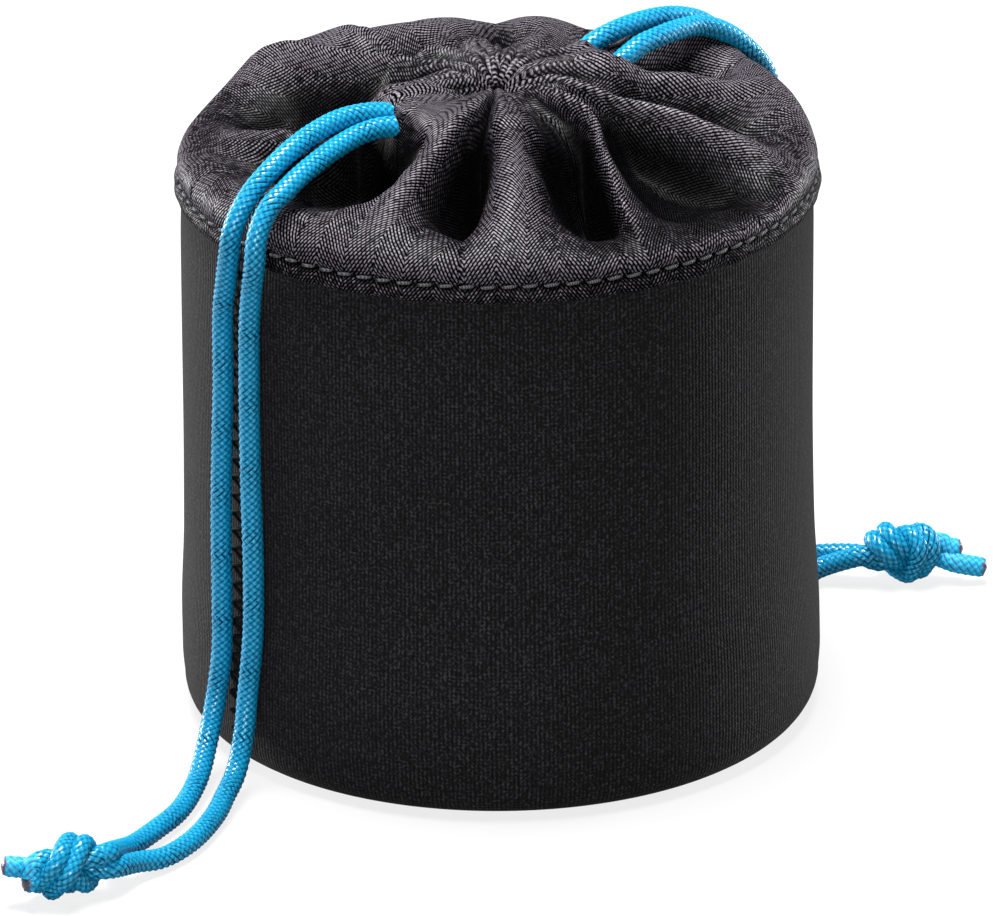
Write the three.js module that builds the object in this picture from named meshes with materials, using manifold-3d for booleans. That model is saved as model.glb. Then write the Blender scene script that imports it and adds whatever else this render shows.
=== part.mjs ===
// Drawstring lens pouch, closed, standing on its base. Millimetres, +Z up, +X through the right cord's way out.
import * as THREE from "three";
import Module from "manifold-3d";

const wasm = await Module();
wasm.setup();

// Pouch body
const wallRadius = 49; // outside of the foam wall
const wallThick = 4;
const wallTop = 91.4;
const footFlare = 0.8; // the wall spreads a little over its foot
const footRound = 3.2;
const flareHigh = 22; // where the foot's spread begins
const baseThick = 4;
const roundSteps = 60;

// Clearances
const sewnGap = 0.3; // between pieces that are sewn or lie together
const stitchGap = 0.15; // between the hem stitches and the band
const goreGapDeg = 0.5; // between neighbouring gores, as an angle at the axis

// Hem band
const hemLap = 4.4; // the band laps over the wall's top
const hemLow = wallTop - hemLap;
const hemThick = 0.65;
const shoulderRise = 7; // the band's upper edge above its lower one
const shoulderTurn = 2.4; // how far that edge is turned in
const hemStitchRise = 2.4; // stitch row above the band's lower edge
const threadRadius = 0.28;

// Collar gores
const goreCount = 12;
const clothThick = 0.7;
const goreSeat = 0.95; // the gores start this far inside the band's upper edge
// Stations of a gore: way in from the seat, the flange's width, and its step down from the gore over it
const goreStations = [
  [0, 0.1, 0.1], [2.6, 0.6, 0.9], [6.6, 2.6, 1.2], [13.6, 6.4, 1.3], [21.6, 8.6, 1.4], [26.1, 8.8, 1.4],
  [29.6, 9, 1.4], [39.6, 11, 1.4],
];
const archColumns = [-1, -0.75, -0.5, -0.25, 0, 0.25, 0.5, 0.75, 1];
// The flange leans down as it goes out: share of its width, and share of its fall there
const flangeColumns = [[0.34, 0.24], [0.64, 0.57], [0.88, 1]];
const flangeSlope = 0.84; // its fall as a share of its width
const flangeLow = -10.6; // and how low it may hang, from the band's upper edge
const sideBend = 0.6; // how much a side that isn't round is bent
// Folds in gore order from +X: the ridge, and the valley after it. Turns are degrees from their even places, at the
// rim, midway and at the throat. Heights are from the band's upper edge, at the stations after the seat. Sides tell
// how the fold rises to its ridge from either valley: 0 round, 1 hollow, -1 full.
const folds = [
  { ridge: [6, 5, 0], top: [2.6, 5.6, 7, 6.4, 5.8, 6, 10], sides: [0, 0],
    valley: [14, 10, 0], floor: [0.6, 0.4, -1.3, -1.3, 1.4, 3.5, 9.1] },
  { ridge: [12, 8, 0], top: [2.4, 4, 5.2, 5, 6.2, 9.3, 9.9], sides: [-0.5, -0.6],
    valley: [8, 6, 0], floor: [0.6, 0, -4, -4.4, -1, 5.8, 8.9] },
  { ridge: [6, 6, 2], top: [2, 3.6, 5, 4.9, 5.6, 9.1, 9.9], sides: [-0.6, 0],
    valley: [3, 3, 0], floor: [1.4, 1.4, -0.4, -0.8, 1.6, 6.8, 9] },
  { ridge: [-3, -2, 0], top: [2.3, 4.4, 5.6, 5.6, 6.6, 8.9, 9.7], sides: [0, 0],
    valley: [0, 0, 0], floor: [1.3, 2.2, 0, -1, 1.6, 6.7, 8.8] },
  { ridge: [-6, -4, 0], top: [2.6, 5.6, 7.2, 8, 8.6, 9.5, 9.5], sides: [0, 0.8],
    valley: [0, 0, 0], floor: [0, -1.6, -4.6, -4.6, -1.2, 5.1, 8.5] },
  { ridge: [-3, 4, 2], top: [1.2, 2.8, 3.8, 3.3, 6.6, 9.1, 9.3], sides: [0.3, 0],
    valley: [0, 3, 2], floor: [0, -1.6, -4.8, -4.8, 3, 8.6, 8.6] },
  { ridge: [0, 4, 0], top: [0.4, 0, -3, -2.6, 5.8, 10, 9.9], sides: [0, 0],
    valley: [0, 3, 3], floor: [0, -0.8, -4.8, -4.8, 2.4, 8.4, 8.1] },
  { ridge: [-1, 2, 4], top: [0.8, 2.4, 4.8, 7.2, 8.4, 9.1, 9.1], sides: [-0.8, -0.6],
    valley: [0, 0, 3], floor: [-0.4, -2, -4.6, -4.6, -3, 2.8, 7.2] },
  { ridge: [-3, -1, 0], top: [1, 3, 5.4, 7.4, 8.4, 9.1, 9.3], sides: [-0.6, -0.9],
    valley: [1, 6, 8], floor: [-0.6, -2.4, -4.8, -4.8, -2.2, 3.8, 8] },
  { ridge: [-5, 0, 8], top: [-0.2, 1.2, 4, 6.6, 8, 8.7, 9.1], sides: [1, 0.4],
    valley: [2, 6, 8], floor: [-0.8, -1.6, -1.2, 0.4, 3.6, 6.9, 8.6] },
  { ridge: [3, 3, 6], top: [1, 3, 5.8, 8, 8.8, 9.3, 9.3], sides: [0.9, 0.2],
    valley: [7, 4, 5], floor: [0, -1.2, -2.8, -1.8, 2.2, 6.4, 8.5] },
  { ridge: [10, 6, 5], top: [2.4, 4.2, 5.8, 7.4, 9.8, 10.8, 9.7], sides: [0, 0.2],
    valley: [8, 3, 4], floor: [0.7, 0.6, -4.4, -4.2, 3, 6.4, 9.3] },
];

// Side seam
const seamAngleDeg = 178;
const seamHalfWidth = 1.5;
const seamPitch = 3;
const seamLow = 5;
const seamHigh = hemLow - 1;

// Cords
const cordRadius = 1.6;
const cordSides = 8;
const threadSides = 6;
const knotRadius = 4.55;
const knotAxisLeft = [-0.97, 0.243, 0];
const knotAxisRight = [0.8, -0.6, 0];
const knotLeft = { at: [-96.5, -20.2, 4.9], halfLength: 3.7 };
const knotRight = { at: [76.4, -4.7, 4.9], halfLength: 4.2 };

// Centre lines of the cords, from the way out of the collar down to the knot
const cordRoutes = {
  left_cord_a_top: [
    [-20.4, -1.6, 104.2], [-22.4, -0.6, 105.3], [-25.4, 0.2, 105.6], [-30, 0.4, 105.2], [-35.4, -0.4, 104.2],
    [-40.8, -1.6, 102.7], [-44.8, -2.4, 101],
  ],
  left_cord_a_rim: [[-46, -2.6, 100.4], [-48.8, -2.8, 98.4], [-51.2, -2.8, 95.6], [-52.3, -2.7, 93.4]],
  left_cord_a: [
    [-52.7, -2.6, 92.2], [-53, -2.4, 90.4], [-53, -2, 88.5], [-52.4, -0.2, 83],
    [-52, 1.3, 77.5], [-51.9, 1.7, 66], [-51.9, 2.4, 53.5], [-51.9, 2.9, 42], [-51.9, 3, 30], [-51.9, 3.3, 20],
    [-52.1, 4.6, 12.4], [-52.6, 5.5, 6.8], [-54.2, 4.8, 2.8], [-57.2, 1.8, 1.8], [-61, -2.3, 1.8], [-69.1, -8.8, 1.8],
    [-76.2, -12.4, 1.8], [-82.4, -15, 1.9], [-87, -18, 3.7], [-91, -20.4, 6.4],
  ],
  left_cord_b_top: [
    [-20.6, -4.6, 102.1], [-24.4, -3.2, 102.6], [-28.6, -2.8, 102.2], [-33.4, -3.4, 101.3], [-38.2, -4.6, 100.4],
    [-42.2, -5.8, 99.5], [-45, -6.6, 98.6],
  ],
  left_cord_b_rim: [[-46.2, -6.9, 98.1], [-49, -7.4, 96.8], [-51.2, -7.8, 94.3], [-51.8, -7.9, 93.1]],
  left_cord_b: [
    [-52.2, -8, 91.9], [-52.5, -8, 90.2], [-52.5, -7.9, 88.5], [-51.9, -6.2, 83.5],
    [-51.7, -5.2, 78], [-51.7, -4.8, 66], [-51.7, -4.8, 51], [-51.7, -5.1, 36.5], [-51.7, -4.7, 25], [-52, -3.4, 14.6],
    [-52.4, -2.9, 8], [-53.4, -3, 3.8], [-57, -6, 1.8], [-65.8, -13.6, 1.8], [-74.8, -19.4, 1.8], [-81.6, -21.9, 1.8],
    [-86.6, -22.3, 1.8], [-91, -21.6, 2.6],
  ],
  right_cord_a_top: [
    [15.2, 3.3, 101.4], [17.4, 3.5, 103.6], [20.8, 3.7, 104.8], [25.3, 3.8, 105.4], [30.2, 3.8, 105.5],
    [35, 3.9, 104.9], [38.9, 4, 103.7], [42.6, 4.1, 101.9], [45, 4.3, 100.3],
  ],
  right_cord_a_rim: [[46.1, 4.5, 99.5], [48.8, 5.1, 97.2], [51.2, 6, 94.2], [51.9, 6.4, 92.9]],
  right_cord_a: [
    [52.4, 6.6, 91.7], [52.7, 6.8, 89.9], [52.6, 7, 85], [52.2, 7.2, 76],
    [52.1, 7.4, 60], [52.1, 7.6, 40], [52.2, 8.2, 20], [52.8, 8.8, 9], [55.2, 9.4, 3.4], [59.6, 10, 1.8], [65, 9.8, 1.8],
    [69, 8.4, 2.2], [71.3, 5, 3.8], [72.3, 0.4, 6.4],
  ],
  right_cord_b_top: [
    [20.2, -2.6, 102.4], [22, -2.8, 103.6], [24.9, -2, 104.3], [29.1, -1.5, 104.5], [34.7, -0.5, 104.1],
    [39.6, 0.2, 103], [43.4, 0.3, 101.4],
  ],
  right_cord_b_rim: [[44.6, 0.2, 100.7], [46.9, 0, 99], [49.7, -0.4, 96.2], [51.8, -0.6, 93.6]],
  right_cord_b: [
    [52.5, -0.6, 92.5], [53.1, -0.6, 90.2], [52.8, -0.8, 85],
    [52.3, -1, 77], [52.1, -1.2, 60], [52.1, -1.2, 40], [52.2, -1, 20], [52.8, -0.4, 8], [55.2, 0.8, 3],
    [59, 2.6, 1.8], [63.6, 3.8, 1.8], [68.6, 2.4, 1.8], [72.8, -1, 2.8],
  ],
  left_tail_a: [[-101.4, -18, 6], [-102.4, -16.2, 5], [-103.6, -13.8, 3.7]],
  left_tail_b: [[-101.4, -19.6, 2.5], [-102.9, -19.6, 2.2], [-104.8, -19.4, 2]],
  right_tail_a: [[80.9, -7, 6.2], [83.2, -7.9, 5.5], [86, -8.8, 4.6]],
  right_tail_b: [[80.2, -8.2, 2.6], [84, -9.7, 2.1], [88.6, -11.2, 1.9]],
};

const neoprene = new THREE.MeshStandardMaterial({ color: 0x1b1b1c, roughness: 0.95 });
const twill = new THREE.MeshStandardMaterial({ color: 0x2b2a2d, roughness: 0.8 });
const thread = new THREE.MeshStandardMaterial({ color: 0x141414, roughness: 0.7 });
const cordBlue = new THREE.MeshStandardMaterial({ color: 0x0f8fc4, roughness: 0.6 });

const part = new THREE.Group();
part.name = "lens_pouch";

function addPiece(name, geometry, material) {
  const mesh = new THREE.Mesh(geometry, material);
  mesh.name = name;
  part.add(mesh);
}

// A solid of revolution from a closed profile of [radius, height], its first point repeated at the end.
function turned(profile, steps = roundSteps) {
  const points = profile.map(([radius, height]) => new THREE.Vector2(radius, height));
  return new THREE.LatheGeometry([...points, points[0].clone()], steps).rotateX(Math.PI / 2);
}

function tube(route, radius, sides, steps) {
  const path = new THREE.CatmullRomCurve3(route.map((p) => new THREE.Vector3(...p)), false, "centripetal");
  const ring = new THREE.Shape().absarc(0, 0, radius, 0, 2 * Math.PI);
  return new THREE.ExtrudeGeometry(ring, { extrudePath: path, steps, curveSegments: sides / 2, bevelEnabled: false });
}

// A quarter round from one angle to another, as profile points
function corner(radius, height, size, fromDeg, toDeg, steps = 4) {
  return Array.from({ length: steps + 1 }, (_, i) => {
    const a = THREE.MathUtils.degToRad(fromDeg + ((toDeg - fromDeg) * i) / steps);
    return [radius + size * Math.cos(a), height + size * Math.sin(a)];
  });
}

// Base and wall: the wall turns under at its foot and the base disc sits inside the turn.
const innerRadius = wallRadius - wallThick;
const footRadius = wallRadius + footFlare;
const baseRadius = footRadius - footRound - sewnGap;
addPiece("base_panel", turned([[0, 0], [baseRadius, 0], [baseRadius, baseThick], [0, baseThick]]), neoprene);
addPiece(
  "side_panel",
  turned([
    [innerRadius, baseThick + sewnGap],
    [footRadius - footRound, baseThick + sewnGap],
    [footRadius - footRound, 0],
    ...corner(footRadius - footRound, footRound, footRound, -90, 0).slice(1),
    [wallRadius, flareHigh],
    [wallRadius, wallTop - 0.8],
    [wallRadius - 0.8, wallTop],
    [innerRadius + 0.8, wallTop],
    [innerRadius, wallTop - 0.8],
  ]),
  neoprene,
);

// Hem band: a strip of the collar cloth over the wall's top edge, turned in at the shoulder.
const bandIn = wallRadius + sewnGap;
const bandOut = bandIn + hemThick;
const hemHigh = hemLow + shoulderRise;
addPiece(
  "hem_band",
  turned([
    [bandIn, hemLow],
    [bandOut, hemLow],
    [bandOut, wallTop - 0.4],
    [bandOut - 0.17 * shoulderTurn, hemHigh - 0.33 * shoulderRise],
    [bandOut - 0.5 * shoulderTurn, hemHigh - 0.15 * shoulderRise],
    [bandOut - shoulderTurn, hemHigh],
    [bandOut - shoulderTurn - 0.6 * hemThick, hemHigh - 0.8 * hemThick],
    [bandIn - 0.48 * shoulderTurn, hemHigh - 0.18 * shoulderRise],
    [bandIn - 0.15 * shoulderTurn, hemHigh - 0.36 * shoulderRise],
    [bandIn, wallTop - 0.4],
  ]),
  twill,
);
const stitchRadius = bandOut + stitchGap + threadRadius;
addPiece(
  "hem_stitch",
  turned(corner(stitchRadius, hemLow + hemStitchRise, threadRadius, 0, 300, 5), 60),
  thread,
);

// One gore of the collar: a fold of cloth between two valleys, with a flange that lies under the gore before it.
function gore(k) {
  const fold = folds[k], last = folds[(k + goreCount - 1) % goreCount];
  const half = 180 / goreCount - goreGapDeg / 2;
  const rows = goreStations.map(([inset, flange, step], row) => {
    const radius = bandOut - shoulderTurn - goreSeat - inset;
    const ridge = turnAt(fold.ridge, inset);
    const top = heightAt(fold.top, row);
    const before = { turn: turnAt(last.valley, inset) - half, floor: heightAt(last.floor, row) - step };
    const after = { turn: turnAt(fold.valley, inset) + half, floor: heightAt(fold.floor, row) };
    const across = archColumns.map((q) => {
      const { turn, floor } = q < 0 ? before : after;
      const angle = THREE.MathUtils.degToRad(ridge + Math.abs(q) * (turn - ridge));
      const height = floor + (top - floor) * sideShape(1 - Math.abs(q), fold.sides[q < 0 ? 0 : 1]);
      return new THREE.Vector3(radius * Math.cos(angle), radius * Math.sin(angle), hemHigh + height);
    });
    const [edge] = across;
    const width = Math.min(flange, (before.floor - flangeLow) / flangeSlope);
    const under = flangeColumns.map(
      ([out, drop]) => new THREE.Vector3(edge.x, edge.y - out * width, edge.z - drop * flangeSlope * width),
    );
    return [...under.reverse(), ...across];
  });
  return sheetSolid(rows, clothThick);
}

// A fold's turn at a way in from the seat, and its height at a station: the seat itself is level.
function turnAt([rim, midway, throat], inset) {
  const share = (2 * inset) / goreStations[goreStations.length - 1][0];
  return share < 1 ? THREE.MathUtils.lerp(rim, midway, share) : THREE.MathUtils.lerp(midway, throat, share - 1);
}
function heightAt(heights, row) {
  return row === 0 ? 0 : heights[row - 1];
}

// How far a fold's side has risen at a share of its way from the valley to the ridge
function sideShape(share, side) {
  const bent = side > 0 ? share ** (1 + sideBend * side) : 1 - (1 - share) ** (1 - sideBend * side);
  return (1 - Math.cos(Math.PI * bent)) / 2;
}

// A closed sheet of even thickness round a grid of points.
function sheetSolid(rows, thick) {
  const high = rows.length, wide = rows[0].length;
  const at = (i, j) => rows[Math.min(Math.max(i, 0), high - 1)][Math.min(Math.max(j, 0), wide - 1)];
  const outer = [], inner = [];
  for (let i = 0; i < high; i++) {
    for (let j = 0; j < wide; j++) {
      const along = at(i + 1, j).clone().sub(at(i - 1, j));
      const across = at(i, j + 1).clone().sub(at(i, j - 1));
      const normal = across.cross(along).normalize();
      outer.push(rows[i][j].clone().addScaledVector(normal, thick / 2));
      inner.push(rows[i][j].clone().addScaledVector(normal, -thick / 2));
    }
  }
  const points = [...outer, ...inner];
  const under = outer.length;
  const faces = [];
  const quad = (a, b, c, d) => faces.push(a, b, c, a, c, d);
  for (let i = 0; i + 1 < high; i++) {
    for (let j = 0; j + 1 < wide; j++) {
      const a = i * wide + j, b = a + 1, c = a + wide + 1, d = a + wide;
      quad(a, b, c, d);
      quad(under + d, under + c, under + b, under + a);
    }
  }
  const rim = [];
  for (let j = 0; j < wide; j++) rim.push(j);
  for (let i = 1; i < high; i++) rim.push(i * wide + wide - 1);
  for (let j = wide - 2; j >= 0; j--) rim.push((high - 1) * wide + j);
  for (let i = high - 2; i > 0; i--) rim.push(i * wide);
  rim.forEach((a, n) => {
    const b = rim[(n + 1) % rim.length];
    quad(b, a, under + a, under + b);
  });
  const geometry = new THREE.BufferGeometry().setFromPoints(points);
  return geometry.setIndex(faces);
}

for (let k = 0; k < goreCount; k++) {
  const name = "collar_gore_" + String(k + 1).padStart(2, "0");
  addPiece(name, gore(k).rotateZ((2 * Math.PI * k) / goreCount), twill);
}

// Side seam: one zig-zag of thread up the wall between the left cords.
const seamRadius = wallRadius + sewnGap + threadRadius;
const seamRoute = [];
for (let z = seamLow, side = 1; z <= seamHigh; z += seamPitch / 2, side = -side) {
  const spread = footFlare * Math.max(0, 1 - (z - footRound) / (flareHigh - footRound));
  const a = THREE.MathUtils.degToRad(seamAngleDeg) + (side * seamHalfWidth) / wallRadius;
  seamRoute.push([(seamRadius + spread) * Math.cos(a), (seamRadius + spread) * Math.sin(a), z]);
}
addPiece("side_seam", tube(seamRoute, threadRadius, threadSides, seamRoute.length - 1), thread);

// Cords
for (const [name, route] of Object.entries(cordRoutes)) {
  const length = new THREE.CatmullRomCurve3(route.map((p) => new THREE.Vector3(...p))).getLength();
  addPiece(name, tube(route, cordRadius, cordSides, Math.max(3, Math.round(length / (4.2 * cordRadius)))), cordBlue);
}

// Knots: two wraps of cord side by side round the strands that pass through.
function knot({ at, halfLength }, axis) {
  const lobe = halfLength / 2;
  const fall = knotRadius - lobe;
  const profile = [
    [0, -halfLength],
    ...corner(fall, -lobe, lobe, -90, 90, 6).map(([r, h]) => [r, h - 0.02]),
    ...corner(fall, lobe, lobe, -90, 90, 6).map(([r, h]) => [r, h + 0.02]),
    [0, halfLength],
  ];
  const turn = new THREE.Quaternion().setFromUnitVectors(new THREE.Vector3(0, 0, 1), new THREE.Vector3(...axis));
  return turned(profile, 24).applyQuaternion(turn).translate(...at);
}
addPiece("left_knot", knot(knotLeft, knotAxisLeft), cordBlue);
addPiece("right_knot", knot(knotRight, knotAxisRight), cordBlue);

export default part;
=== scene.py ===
import math

import bpy
import numpy as np
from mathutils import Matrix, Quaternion, Vector


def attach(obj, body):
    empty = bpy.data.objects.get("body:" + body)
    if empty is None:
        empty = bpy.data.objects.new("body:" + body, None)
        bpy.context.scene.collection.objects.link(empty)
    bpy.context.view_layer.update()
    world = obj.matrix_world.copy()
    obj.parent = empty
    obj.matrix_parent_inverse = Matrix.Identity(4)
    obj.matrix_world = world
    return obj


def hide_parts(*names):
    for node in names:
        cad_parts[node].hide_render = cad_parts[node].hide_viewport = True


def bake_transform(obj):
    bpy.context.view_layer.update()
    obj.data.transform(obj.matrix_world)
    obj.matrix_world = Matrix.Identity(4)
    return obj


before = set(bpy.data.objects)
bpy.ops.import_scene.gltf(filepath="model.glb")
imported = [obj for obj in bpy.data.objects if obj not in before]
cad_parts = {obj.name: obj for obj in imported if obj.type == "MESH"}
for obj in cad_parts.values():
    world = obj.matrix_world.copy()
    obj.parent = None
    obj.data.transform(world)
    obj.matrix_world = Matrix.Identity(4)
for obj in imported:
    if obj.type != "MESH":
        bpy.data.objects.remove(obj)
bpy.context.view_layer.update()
mm = 0.001
rng = np.random.default_rng(7)
print("stage: frame loaded")


# ways to make meshes

def addMesh(name, verts, faces, material, uv=None, values=None):
    mesh = bpy.data.meshes.new(name)
    verts, faces = np.asarray(verts, float), np.asarray(faces, int)
    corners = [[v for v in face if v >= 0] for face in faces.tolist()]  # -1 fills up a triangle's row
    mesh.from_pydata(verts.tolist(), [], corners)
    mesh.polygons.foreach_set("use_smooth", [True] * len(mesh.polygons))
    if uv is not None:  # one pair for each point, in units of 100 mm
        layer = mesh.uv_layers.new(name="cloth")
        corner = np.zeros(len(mesh.loops), np.int32)
        mesh.loops.foreach_get("vertex_index", corner)
        layer.data.foreach_set("uv", np.asarray(uv, np.float32)[corner].ravel())
    for key, value in (values or {}).items():
        data = mesh.attributes.new(key, "FLOAT", "POINT").data
        data.foreach_set("value", np.asarray(value, np.float32))
    mesh.materials.append(material)
    mesh.update()
    piece = bpy.data.objects.new(name, mesh)
    bpy.context.scene.collection.objects.link(piece)
    return piece


def gridFaces(rows, columns, around=False, along=False):
    i = np.arange(rows if along else rows - 1)[:, None]
    j = np.arange(columns if around else columns - 1)[None, :]
    below, beside = (i + 1) % rows, (j + 1) % columns
    corners = [i * columns + j, i * columns + beside, below * columns + beside, below * columns + j]
    return np.stack(corners, -1).reshape(-1, 4)


def pathLength(points):
    return np.concatenate([[0], np.cumsum(np.linalg.norm(np.diff(points, axis=0), axis=1))])


def evenSteps(line, count):
    run = pathLength(line)
    s = np.linspace(0, run[-1], count)
    return np.stack([np.interp(s, run, line[:, k]) for k in range(3)], 1), s


def smoothRoute(points, step):  # an even line that passes through every point
    between, least = 24, 4
    p = np.array(points, float)
    p = np.vstack([2 * p[0] - p[1], p, 2 * p[-1] - p[-2]])
    t = np.concatenate([[0], np.cumsum(np.linalg.norm(np.diff(p, axis=0), axis=1) ** 0.5)])

    def mix(low, high, a, b, u):
        return ((t[high] - u) * a + (u - t[low]) * b) / (t[high] - t[low])

    line = []
    for i in range(1, len(p) - 2):
        u = np.linspace(t[i], t[i + 1], between, endpoint=False)[:, None]
        a = [mix(i - 1 + k, i + k, p[i - 1 + k], p[i + k], u) for k in range(3)]
        b = [mix(i - 1 + k, i + 1 + k, a[k], a[k + 1], u) for k in range(2)]
        line.append(mix(i, i + 1, b[0], b[1], u))
    line = np.vstack(line + [p[-2][None]])
    return evenSteps(line, max(int(pathLength(line)[-1] / step), least) + 1)


def sweepFrames(line):
    along = np.gradient(line, axis=0)
    along /= np.linalg.norm(along, axis=1)[:, None]
    side = np.zeros_like(along)
    aside = [0.31, 0.2, 0.93]  # any way that no line starts along
    n = np.cross(along[0], aside)
    for i, t in enumerate(along):
        n = n - t * (n @ t)
        n = n / np.linalg.norm(n)
        side[i] = n
    return along, side, np.cross(along, side)


def ringAround(side, other, sides):  # ways out from each point of a line
    phi = 2 * math.pi * np.arange(sides) / sides
    return side[:, None] * np.cos(phi)[None, :, None] + other[:, None] * np.sin(phi)[None, :, None]


braid = dict(crown=0.7, length=0.86, ends=0.5,  # the shape of one yarn where it shows
             mean=0.62, dome=0.35, around=0.1)


def braidRelief(s, turn, cord):
    a = cord["carriers"] * turn + s / cord["pick"]
    b = cord["carriers"] * turn - s / cord["pick"]
    fa, fb = a % 1 - 0.5, b % 1 - 0.5
    over = (np.floor(a) + np.floor(b)) % 2 < 1
    across, length = np.where(over, fa, fb), np.where(over, fb, fa)
    crown = np.cos(math.pi * across) ** braid["crown"]
    return crown * np.cos(math.pi * length * braid["length"]) ** braid["ends"], over


def braidTube(name, line, s, cord, material, radius=None):
    along, side, other = sweepFrames(line)
    sides, n = cord["sides"], len(line)
    turn = np.arange(sides) / sides
    pile, over = braidRelief(s[:, None], turn[None, :], cord)
    r = np.full(n, cord["radius"]) if radius is None else radius
    rim = r[:, None] + cord["relief"] * (pile - braid["mean"])
    verts = (line[:, None] + rim[..., None] * ringAround(side, other, sides)).reshape(-1, 3)
    faces = gridFaces(n, sides, around=True)
    u = np.broadcast_to(turn, (n, sides)).ravel() * braid["around"]
    run = np.repeat(s, sides)
    uv = np.stack([u, run / 100], 1)
    values = {"pile": pile.ravel(), "pick": over.ravel().astype(float), "run": run / s[-1]}
    for row, way in ((0, -1), (n - 1, 1)):  # a low dome closes each end
        centre = line[row] + along[row] * way * r[row] * braid["dome"]
        verts = np.vstack([verts, centre[None]])
        uv = np.vstack([uv, [[braid["around"] / 2, s[row] / 100]]])
        for key in values:
            values[key] = np.append(values[key], values[key][row * sides])
        j = np.arange(sides)
        a, b = row * sides + j, row * sides + (j + 1) % sides
        fan = np.stack([a, b] if way > 0 else [b, a], 1)
        fan = np.column_stack([fan, np.full(sides, len(verts) - 1), np.full(sides, -1)])
        faces = np.vstack([faces, fan])
    return addMesh(name, verts * mm, faces, material, uv, values)


# materials: a socket that takes part in sums, and one way to add any other node

class Sock:
    def __init__(self, tree, socket):
        self.tree, self.socket = tree, socket

    def node(self, kind, settings=(), output=0, **inputs):
        made = self.tree.nodes.new(kind)
        for key, value in dict(settings).items():
            setattr(made, key, value)
        for key, value in inputs.items():
            numbered = key[0] == "i" and key[1:].isdigit()
            target = made.inputs[int(key[1:]) if numbered else key.replace("_", " ")]
            if isinstance(value, Sock):
                self.tree.links.new(value.socket, target)
            else:
                target.default_value = value
        return Sock(self.tree, made.outputs[output])

    def math(self, operation, *others):
        rest = {f"i{k + 1}": other for k, other in enumerate(others)}
        return self.node("ShaderNodeMath", {"operation": operation}, i0=self, **rest)

    def __add__(self, other):
        return self.math("ADD", other)

    def __sub__(self, other):
        return self.math("SUBTRACT", other)

    def __rsub__(self, other):
        return self.math("MULTIPLY", -1.0).math("ADD", other)

    def __mul__(self, other):
        return self.math("MULTIPLY", other)

    def __truediv__(self, other):
        return self.math("DIVIDE", other)

    def wave(self):
        return (self * (2 * math.pi)).math("SINE") * 0.5 + 0.5

    def ease(self, low, high):
        kind = {"interpolation_type": "SMOOTHSTEP"}
        return self.node("ShaderNodeMapRange", kind, Value=self, From_Min=low, From_Max=high)

    def ramp(self, *stops):
        made = self.node("ShaderNodeValToRGB", Fac=self)
        points = made.socket.node.color_ramp.elements
        while len(points) < len(stops):
            points.new(0.5)
        for point, (place, colour) in zip(points, stops):
            point.position, point.color = place, (*colour, 1)
        return made


def newMaterial(name, build, **constants):
    material = bpy.data.materials.new(name)
    material.use_nodes = True
    tree = material.node_tree
    shader = tree.nodes["Principled BSDF"]
    start = Sock(tree, None)
    for key, value in constants.items():
        shader.inputs[key.replace("_", " ")].default_value = value
    for key, value in build(start).items():
        tree.links.new(value.socket, shader.inputs[key])
    return material


def clothPlace(start):  # mm along and across the cloth
    uv = start.node("ShaderNodeUVMap", {"uv_map": "cloth"})
    split = start.node("ShaderNodeSeparateXYZ", Vector=uv)
    return split * 100.0, Sock(start.tree, split.socket.node.outputs[1]) * 100.0


def solidPlace(start):
    return start.node("ShaderNodeTexCoord", output=3)


def speckle(start, place, scale, detail=3.0):
    return start.node("ShaderNodeTexNoise", Vector=place, Scale=scale, Detail=detail)


def bump(start, height, distance, strength=1.0):
    return start.node("ShaderNodeBump", Height=height, Distance=distance, Strength=strength)


def attribute(start, name):
    return start.node("ShaderNodeAttribute", {"attribute_name": name}, output=2)


knit = dict(rib=0.66, loop=0.62, depth=0.00016, colours=[
    (0.1, (0.0022, 0.002, 0.0024)),
    (0.5, (0.0062, 0.0056, 0.0065)),
    (0.95, (0.033, 0.0308, 0.0343))])


def jerseyLook(start):
    u, v = clothPlace(start)
    where = solidPlace(start)
    broad = speckle(start, where, 38.0)
    fine = speckle(start, where, 2300.0, 2.0)
    lean = (v / knit["loop"]).math("PINGPONG", 0.5)  # the two legs of each loop
    rib = (u / knit["rib"] + lean * 0.3 + broad * 0.25).wave()
    loop = (v / knit["loop"]).wave()
    height = rib * 0.55 + loop * 0.2 + fine * 0.9
    tone = rib * 0.3 + loop * 0.1 + fine * 2.0 + broad * 0.15 - 0.83
    return {"Base Color": tone.ramp(*knit["colours"]),
            "Roughness": 0.98 - rib * 0.12,
            "Normal": bump(start, height, knit["depth"], 0.8)}


weave = dict(bands=9.6, rib=0.48, dash=0.8, stitch=2.6, depth=0.0001, deep=0.72, colours=[
    (0.12, (0.0006, 0.0005, 0.0007)),
    (0.4, (0.004, 0.0034, 0.0044)),
    (0.66, (0.022, 0.0192, 0.0236)),
    (0.94, (0.125, 0.108, 0.133))])


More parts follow.
